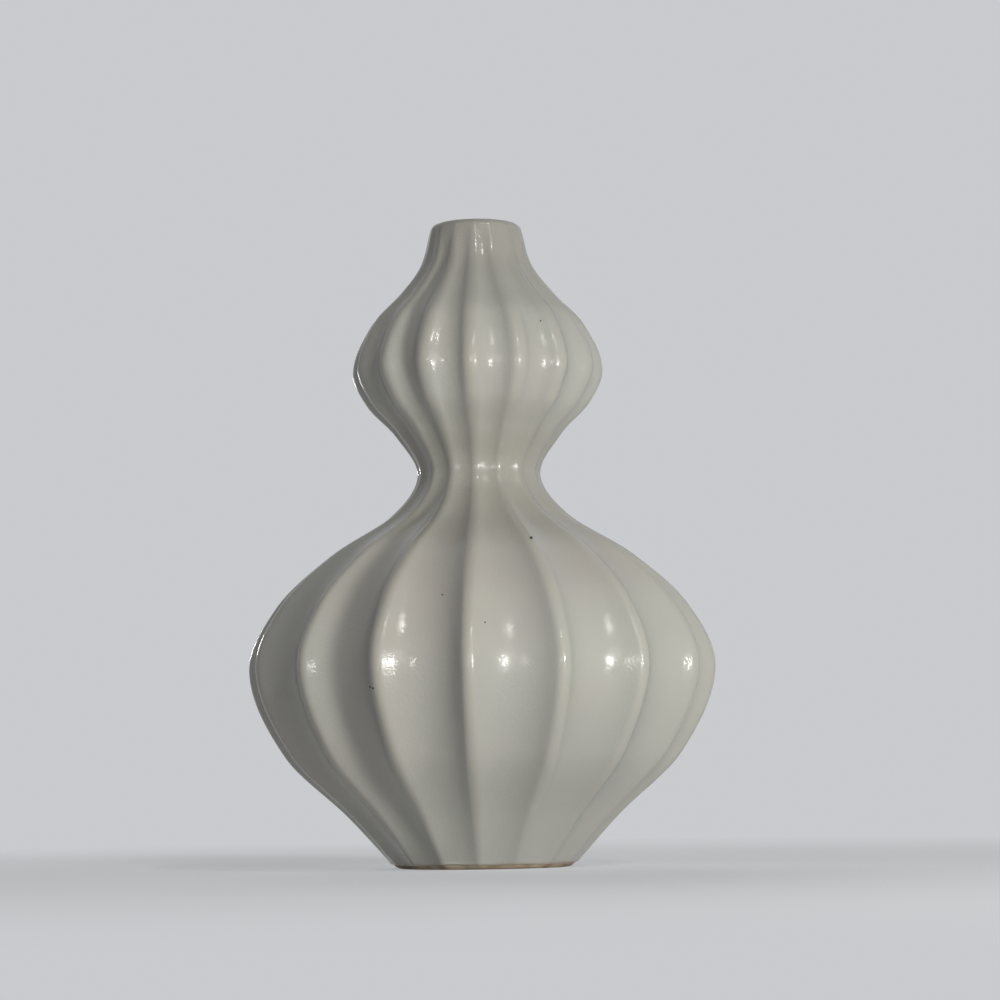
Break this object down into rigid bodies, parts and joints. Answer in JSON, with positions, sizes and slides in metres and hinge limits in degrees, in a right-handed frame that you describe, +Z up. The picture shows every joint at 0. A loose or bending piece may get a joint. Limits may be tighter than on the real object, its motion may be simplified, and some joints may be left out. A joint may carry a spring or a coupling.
{
  "type": "gourd vase",
  "caption": "Small fluted gourd vase: a wide lower bulb, a narrow waist, a small upper bulb and a short neck with a round mouth, in white glazed stoneware.",
  "frame": {"origin": "centre of the foot, on the plane that the vase stands on", "axes": "+Z up the vase's axis towards the mouth; one ridge of the flutes faces -Y"},
  "size_m": [0.0904, 0.0904, 0.125],
  "materials": {
    "bare_stoneware": "bare fired clay, matt",
    "white_glaze": "glossy creamy white glaze, thinner and warmer on the ridges, with a few dark iron specks",
    "liner_glaze": "glossy clear to white liner glaze"
  },
  "bodies": {
    "root": {"stoneware_body": "bare_stoneware", "outer_glaze": "white_glaze", "inner_glaze": "liner_glaze"}
  },
  "joints": []
}
